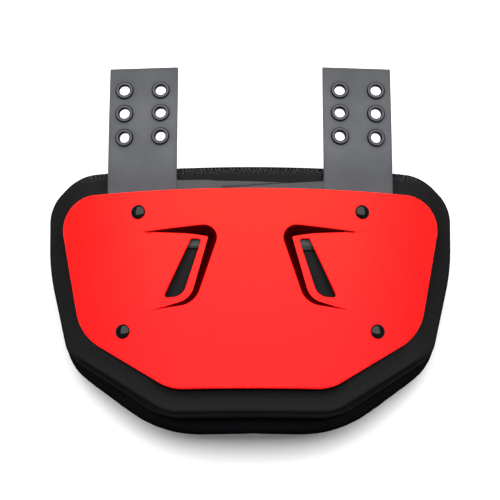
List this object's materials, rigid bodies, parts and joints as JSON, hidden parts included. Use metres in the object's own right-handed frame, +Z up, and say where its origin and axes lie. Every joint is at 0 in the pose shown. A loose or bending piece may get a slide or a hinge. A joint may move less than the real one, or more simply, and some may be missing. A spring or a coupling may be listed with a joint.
{
  "type": "football back plate",
  "caption": "Curved plastic back plate with scooped vents, riveted over a layered foam pad, with flexible eyelet straps that hang it from shoulder pads to guard a player's lower back.",
  "frame": {"origin": "on the surface it lies on, under the middle of its box", "axes": "+Z up out of the shell's face, +Y towards the ends of the straps, +X to the right of the picture"},
  "size_m": [0.3054, 0.2758, 0.0753],
  "materials": {
    "shell": "satin red moulded plastic",
    "foam": "matt black fine mesh over moulded foam",
    "mesh": "black spacer mesh over soft foam",
    "strap": "grey die-cut flexible plastic sheet",
    "eyelet": "dark gunmetal rolled eyelet",
    "rivet": "semi-gloss black domed rivet"
  },
  "bodies": {
    "root": {"shell_plate": "shell", "front_foam": "foam", "back_pad": "mesh", "strap_left": "strap", "strap_right": "strap", "eyelet_left_1": "eyelet", "eyelet_left_2": "eyelet", "eyelet_left_3": "eyelet", "eyelet_left_4": "eyelet", "eyelet_left_5": "eyelet", "eyelet_left_6": "eyelet", "eyelet_right_1": "eyelet", "eyelet_right_2": "eyelet", "eyelet_right_3": "eyelet", "eyelet_right_4": "eyelet", "eyelet_right_5": "eyelet", "eyelet_right_6": "eyelet", "rivet_top_left": "rivet", "rivet_bottom_left": "rivet", "rivet_top_right": "rivet", "rivet_bottom_right": "rivet"}
  },
  "joints": []
}
